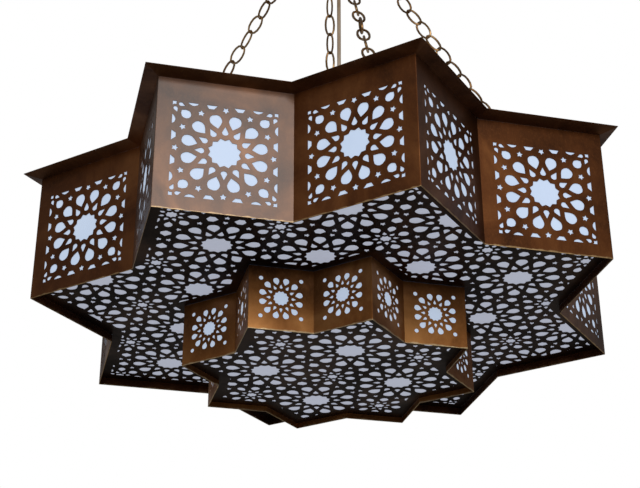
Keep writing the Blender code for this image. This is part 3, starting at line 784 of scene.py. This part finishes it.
def star_ring(name, steps):
    """A star-shaped ring raised step by step along (tip radius, height)."""
    radius, height = steps[0]
    bpy.ops.object.select_all(action="DESELECT")
    bpy.ops.mesh.primitive_circle_add(vertices=16, radius=radius, location=(0, 0, height),
                                      rotation=(0, 0, math.radians(22.5)))
    piece = bpy.context.object
    piece.name = piece.data.name = name
    bpy.ops.object.transform_apply(location=True, rotation=True, scale=True)
    bpy.ops.object.mode_set(mode="EDIT")
    pick_where(piece, "VERT",
               lambda v: round((math.degrees(math.atan2(v.co.y, v.co.x)) - 22.5) / 22.5) % 2 == 1)
    bpy.ops.transform.resize(value=(INNER_CORNER, INNER_CORNER, 1), center_override=(0, 0, height))
    bpy.ops.mesh.select_all(action="SELECT")
    raise_ring(steps)
    close_up(0.00002)
    return piece


lip_brass = aged_brass("dark_lip_brass", (0.060, 0.0210, 0.0085), (0.160, 0.0640, 0.0230),
                       (0.330, 0.150, 0.058), (0.32, 0.48))
inner, outer = STAR_RADIUS - SHEET * DIAGONAL, STAR_RADIUS + LIP_REACH * DIAGONAL
low = RIM_Z + GAP
lip = star_ring("flared_lip", [
    (inner, low), (STAR_RADIUS, low), (outer - EASED, low + LIP_RISE),
    (outer, low + LIP_RISE + SHEET / 2), (outer - EASED, low + LIP_RISE + SHEET),
    (STAR_RADIUS, low + SHEET), (inner, low + SHEET), (inner, low)])
lip.data.materials.append(lip_brass)
settle(lip, "lantern", "dark_brass", "rim_flange")


# The upper floor: one star-shaped brass plate set 11.5 mm up inside the walls, pierced all over
# with the same net turned to the tips and a little behind the middle, and open over the lower box.
FLOOR_Z, LOWER_RADIUS, OPENING_RADIUS = -0.8885, 0.210, 0.190
FLOOR_SHIFT = 0.012               # the net lies this far behind the middle
BORDER = 0.0155                   # solid brass along the walls
BOX_BORDER = 0.0120               # solid brass round the lower box
STRAP_TRIM = 0.0005               # taken off each side of the floors' straps


def in_star(outline, tip_radius):
    """The part of an opening inside a star, which is two crossed squares."""
    half = tip_radius * math.cos(FACET)
    return max((in_square(outline, half, math.radians(22.5 + turn)) for turn in (45, 0)), key=area)


def out_of_star(outline, tip_radius):
    """The largest part of an opening beyond a side of each of the star's two squares."""
    half = tip_radius * math.cos(FACET)
    away = []
    for i in range(8):
        a = math.radians(22.5 + 45 * i)
        away.append((-math.cos(a), -math.sin(a)))
    best = []
    for first in away[0::2]:
        for second in away[1::2]:
            part = trimmed(trimmed(outline, first, -half), second, -half)
            if len(part) > 2 and (not best or area(part) > area(best)):
                best = part
    return best


def net_over(tip_radius, turn, box_radius=None):
    """The whole net, its straps narrower, turned and trimmed to a floor's border."""
    shapes = []
    reach = math.ceil(tip_radius / CELL) + 1
    for i in range(-reach, reach):
        for j in range(-reach, reach):
            for shape in net((i + 0.5) * CELL, (j + 0.5) * CELL):
                shape = moved(grown(shape, STRAP_TRIM), turn, 0, FLOOR_SHIFT)
                farthest = max(math.hypot(*p) for p in shape)
                kept = in_star(shape, tip_radius) if farthest > 0.5 * tip_radius else shape
                if box_radius and len(kept) > 2:
                    kept = out_of_star(kept, box_radius)
                if len(kept) > 2 and worth_cutting(kept, shape):
                    shapes.append(kept)
    return shapes


def star_outline(tip_radius):
    return star_shape(8, tip_radius, tip_radius * INNER_CORNER, math.radians(22.5))


def floor_plate(tier, tip_radius, height, openings):
    """A star plate between the walls of a tier, its underside at a height."""
    outline = star_outline(tip_radius - (SHEET + GAP) * DIAGONAL)
    plate = pierced_sheet(f"{tier}_pierced_floor", outline, openings, SHEET)
    put(plate, Matrix.Translation((0, 0, height + SHEET / 2)))
    plate.data.materials.append(floor_brass)
    settle(plate, "lantern", f"{tier}_brass", f"{tier}_floor_plate")


floor_brass = aged_brass("black_floor_brass", (0.0075, 0.0038, 0.0026), (0.022, 0.0100, 0.0056),
                         (0.070, 0.030, 0.012), (0.36, 0.55), 0.2, lacquer=0.07)
floor_plate("upper", STAR_RADIUS, FLOOR_Z, [star_outline(OPENING_RADIUS)] + net_over(
    STAR_RADIUS - BORDER * DIAGONAL, math.radians(22.5), LOWER_RADIUS + BOX_BORDER * DIAGONAL))


# The lower walls: the same folded corners at half the size, with one rosette and four drilled
# corner holes to a half, in a lighter, more golden brass than the upper walls.
LOWER_Z, LOWER_WALL_TOP = -0.978, -0.8888
LOWER_ROSETTE_UP = 0.0457
ROSETTE_SIZE, GREAT_STAR_SIZE = 0.54, 0.51     # against the upper walls'
CORNER_HOLE, CORNER_HOLE_PLACE = 0.0029, 0.0268

low_brass = aged_brass("golden_brown_brass", (0.150, 0.057, 0.0150), (0.330, 0.130, 0.034),
                       (0.540, 0.250, 0.078), (0.42, 0.58))
worn_line(low_brass, LOWER_Z, (0.85, 0.64, 0.36))
lower_panel = LOWER_RADIUS * (math.sqrt(2) - 1)
halves = []
for side in (-1, 1):
    x = side * lower_panel / 2
    halves += twelve_rosette(x, LOWER_ROSETTE_UP, ROSETTE_SIZE, GREAT_STAR_SIZE)
    for sx in (-1, 1):
        for sy in (-1, 1):
            halves.append(moved(star_shape(8, CORNER_HOLE, CORNER_HOLE), 0, x + sx * CORNER_HOLE_PLACE,
                                LOWER_ROSETTE_UP + sy * CORNER_HOLE_PLACE))
corner_panel = folded_panel("lower_corner", lower_panel, LOWER_WALL_TOP - LOWER_Z, halves)
corner_panel.data.materials.append(low_brass)
corner_panel.data.materials.append(worn_brass)
eight_corners(corner_panel, "lower", LOWER_RADIUS, LOWER_Z)


# The lower floor: a smaller star plate 8 mm up inside the lower walls, with the net at full size,
# turned the other way.
LOWER_FLOOR_Z = -0.970
floor_plate("lower", LOWER_RADIUS, LOWER_FLOOR_Z,
            net_over(LOWER_RADIUS - BORDER * DIAGONAL, math.radians(-22.5)))


# The diffusers: 1 mm opal acrylic, one folded band and one flat sheet behind each tier's piercing,
# faintly blue and a little uneven where it has been handled, and lit by a painted glow.
LINER, UPPER_LINER_TOP = 0.001, -0.744


def opal_painted_glow(name, glow, strength):
    """Milky sheet with a painted glow: an even emission stands in for the daylight that reaches its back."""
    opal, shader, place = mottled(
        name, 0.45, (14, 4), [(0.3, (0.36, 0.48, 0.70)), (0.7, (0.46, 0.58, 0.80))], (0.38, 0.52))
    relief(opal, shader, grain(opal, place, 35, 3), 0.0004, 0.4)
    shader.inputs["Emission Color"].default_value = (*glow, 1.0)
    shader.inputs["Emission Strength"].default_value = strength
    return opal


# painted glow and shade: the upright bands glow brighter and bluer than the flat sheets, which face down
band_opal_painted_glow = opal_painted_glow("opal_band_painted_glow", (0.70, 0.82, 1.0), 0.50)
sheet_opal_painted_glow = opal_painted_glow("opal_sheet_painted_glow", (0.84, 0.86, 1.0), 0.36)

for tier, tip, floor_z, top in (("upper", STAR_RADIUS, FLOOR_Z, UPPER_LINER_TOP),
                                ("lower", LOWER_RADIUS, LOWER_FLOOR_Z, FLOOR_Z - GAP)):
    low = floor_z + SHEET + GAP
    outside = tip - (SHEET + GAP) * DIAGONAL
    inside = outside - LINER * DIAGONAL
    band = star_ring(f"{tier}_opal_band", [
        (outside, low), (outside, top - 0.0002), (outside - EASED, top), (inside + EASED, top),
        (inside, top - 0.0002), (inside, low), (outside, low)])
    band.data.materials.append(band_opal_painted_glow)
    settle(band, "lantern", "opal_diffuser", f"{tier}_wall_diffuser")
    flat = inside - GAP * DIAGONAL
    hole = [star_outline(OPENING_RADIUS)] if tier == "upper" else []
    sheet = pierced_sheet(f"{tier}_opal_sheet", star_outline(flat), hole, LINER)
    put(sheet, Matrix.Translation((0, 0, low + LINER / 2)))
    sheet.data.materials.append(sheet_opal_painted_glow)
    settle(sheet, "lantern", "opal_diffuser", f"{tier}_floor_diffuser")


# The lamp frame: two flat zinc-plated bars crossed in the middle and soldered to the inner corners,
# with a bolt through both that carries the junction box.
for name in ("cross_bar_x", "cross_bar_y", "centre_bolt"):
    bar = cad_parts[name]
    bar.data.materials.clear()
    bar.data.materials.append(zinc)


# The junction box: a pressed steel drum with a beaded lid, and a plastic gland for the lead.  The
# drum has a hole in its bottom and its lid for the bolt.
BOX_TOP, BOX_RADIUS, BOX_HEIGHT, BOLT_HOLE = -0.7403, 0.035, 0.034, 0.0053

low = BOX_TOP - BOX_HEIGHT
box = turned("junction_drum", [
    (BOLT_HOLE, low), (BOX_RADIUS - 0.004, low), (BOX_RADIUS - 0.0015, low + 0.001),
    (BOX_RADIUS - 0.0004, low + 0.004), (BOX_RADIUS - 0.0004, low + 0.022), (BOX_RADIUS, low + 0.0225),
    (BOX_RADIUS, low + 0.0310), (BOX_RADIUS - 0.0010, low + 0.0332), (BOX_RADIUS - 0.0030, BOX_TOP),
    (BOX_RADIUS - 0.0060, BOX_TOP), (BOX_RADIUS - 0.0075, BOX_TOP - 0.0008),
    (BOLT_HOLE, BOX_TOP - 0.0008), (BOLT_HOLE, low)], 64, zinc)
settle(box, "lantern", "zinc_steel", "junction_box")
collar = [(LEAD_BORE, -0.004), (0.0045, -0.004), (0.0045, 0.0003), (0.0056, 0.0003), (0.0056, 0.0040),
          (0.0050, 0.0052), (0.0044, 0.0095), (LEAD_BORE, 0.0097), (LEAD_BORE, -0.004)]
gland = turned("lead_gland_nut", [(r, BOX_TOP + z) for r, z in collar], 32, cream_plastic)
put(gland, Matrix.Translation((LEAD_FOOT.x, LEAD_FOOT.y, 0)))
settle(gland, "lantern", "lampholder_plastic", "lead_gland")


# The lamps: four level ones on threaded brass arms and one hanging straight from the box, each a
# cream moulded holder with a ribbed skirt and a frosted candle bulb with a nickel screw cap.
LAMP_Z = BOX_TOP - BOX_HEIGHT / 2
ARM_RADIUS, ARM_LENGTH = 0.006, 0.030
HOLDER_LENGTH, BULB_SEAT, CAP_TOP = 0.044, 0.020, 0.025

arm = turned("arm", [
    (0, 0), (ARM_RADIUS, 0), (ARM_RADIUS, 0.004), (0.0048, 0.0046), (0.0048, ARM_LENGTH - 0.0056),
    (ARM_RADIUS, ARM_LENGTH - 0.005), (ARM_RADIUS, ARM_LENGTH), (0, ARM_LENGTH)], 32, chain_brass)
skirt = [(0, 0), (0.0115, 0), (0.0128, 0.0012), (0.0145, 0.0085), (0.0160, 0.0120), (0.0186, 0.0150),
         (0.0195, 0.0165)]
for i in range(5):
    z = 0.0195 + i * 0.0042
    skirt += [(0.0195, z), (0.0188, z + 0.0007), (0.0188, z + 0.0014), (0.0195, z + 0.0021)]
skirt += [(0.0195, HOLDER_LENGTH - 0.0008), (0.0188, HOLDER_LENGTH), (0.0172, HOLDER_LENGTH),
          (0.0165, HOLDER_LENGTH - 0.0008), (0.0165, BULB_SEAT), (0, BULB_SEAT)]
holder = turned("holder", skirt, 40, cream_plastic)

frosted, shader, place = mottled(
    "frosted_bulb_glass", 0.32, (60, 3),
    [(0.3, (0.80, 0.80, 0.78)), (0.7, (0.90, 0.90, 0.89))], (0.28, 0.40))
shader.inputs["Transmission Weight"].default_value = 0.25
nickel, shader, place = mottled(
    "nickel_screw_cap", 0.25, (300, 3),
    [(0.3, (0.45, 0.43, 0.38)), (0.7, (0.66, 0.64, 0.58))], (0.36, 0.20), 1.0)

glass_line = [(0.0, 0.0), (0.005, 0.0006), (0.008, 0.0020), (0.0120, 0.0035)]
for i in range(4):
    z = 0.0065 + i * 0.0045
    glass_line += [(0.0120, z), (0.0125, z + 0.0012), (0.0120, z + 0.0024)]
glass_line += [(0.0128, 0.0255), (0.0145, 0.0290), (0.0170, 0.0360), (0.0198, 0.0450), (0.0218, 0.0530),
               (0.0225, 0.0600), (0.0221, 0.0670), (0.0205, 0.0740), (0.0178, 0.0805), (0.0140, 0.0858),
               (0.0095, 0.0895), (0.0048, 0.0915), (0, 0.092)]
bulb = turned("bulb", glass_line, 40, frosted)
bulb.data.materials.append(nickel)
bpy.ops.object.mode_set(mode="EDIT")
pick_where(bulb, "FACE", lambda f: f.calc_center_median().z < CAP_TOP)
bulb.active_material_index = 1
bpy.ops.object.material_slot_assign()
bpy.ops.object.mode_set(mode="OBJECT")

for k in range(1, 6):
    if k < 5:
        a = math.radians(45 + 90 * (k - 1))
        aim = Vector((math.cos(a), math.sin(a), 0))
        base = Vector((0, 0, LAMP_Z)) + aim * (BOX_RADIUS + GAP)
    else:
        aim = Vector((0, 0, -1))
        base = Vector((0, 0, BOX_TOP - BOX_HEIGHT - GAP))
    stand = aim.to_track_quat("Z", "Y").to_matrix().to_4x4()
    if k < 5:
        settle(put(copy_of(arm, f"lamp_arm_tube_{k}"), Matrix.Translation(base) @ stand),
               "lantern", "chain_brass", f"lamp_arm_{k}")
        base = base + aim * (ARM_LENGTH + GAP)
    settle(put(copy_of(holder, f"moulded_lampholder_{k}"), Matrix.Translation(base) @ stand),
           "lantern", "lampholder_plastic", f"lampholder_{k}")
    seat = base + aim * (BULB_SEAT + GAP)
    settle(put(copy_of(bulb, f"candle_bulb_{k}"), Matrix.Translation(seat) @ stand),
           "lantern", "frosted_glass", f"bulb_{k}")
for spare in (arm, holder, bulb):
    bpy.data.objects.remove(spare, do_unlink=True)


# The studio: a pale floor well below and a white surround, seen white but lighting only softly; a
# broad soft light in front, and a tall narrow one on the right that glances off the front left wall.
GROUND_SIZE, GROUND_Z = 12, -2.4
LIT_PLACE = Vector((0, 0, -0.83))             # the lights point here

bpy.context.scene.view_settings.view_transform = "Standard"
world = bpy.data.worlds.new("white_surround")
world.use_nodes = True
bpy.context.scene.world = world
air = world.node_tree
shown, soft = air.nodes["Background"], air.nodes.new("ShaderNodeBackground")
shown.inputs["Color"].default_value = (1, 1, 1, 1)
soft.inputs["Color"].default_value = (1.0, 0.97, 0.95, 1)
soft.inputs["Strength"].default_value = 0.22
path, either = air.nodes.new("ShaderNodeLightPath"), air.nodes.new("ShaderNodeMixShader")
air.links.new(path.outputs["Is Camera Ray"], either.inputs["Fac"])
air.links.new(soft.outputs["Background"], either.inputs[1])
air.links.new(shown.outputs["Background"], either.inputs[2])
air.links.new(either.outputs["Shader"], air.nodes["World Output"].inputs["Surface"])

bpy.ops.object.select_all(action="DESELECT")
bpy.ops.mesh.primitive_plane_add(size=GROUND_SIZE, location=(0, 0, GROUND_Z))
ground = bpy.context.object
ground.name = ground.data.name = "pale_floor"
bpy.ops.object.transform_apply(location=True, rotation=True, scale=True)
plaster, shader, place = new_finish("pale_floor_plaster", 0.8)
cloud = grain(plaster, place, 3, 5)
join_up(plaster, (tones(plaster, cloud, (0.3, (0.60, 0.59, 0.57)), (0.7, (0.66, 0.65, 0.63))),
                  shader.inputs["Base Color"]))
ground.data.materials.append(plaster)

for name, where, wide, high, power, colour in (
        ("front_softbox", (-0.5, -3.4, 0.3), 4.2, 1.5, 18, (1.0, 0.93, 0.86)),
        ("right_window", (1.15, -2.35, -0.05), 0.9, 1.9, 17, (1.0, 0.97, 0.95))):
    bpy.ops.object.light_add(type="AREA", location=where)
    light = bpy.context.object
    light.name = name
    light.data.shape = "RECTANGLE"
    light.data.size, light.data.size_y = wide, high
    light.data.energy = power
    light.data.color = colour
    light.rotation_euler = (LIT_PLACE - Vector(where)).to_track_quat("-Z", "Y").to_euler()
    light.visible_camera = False
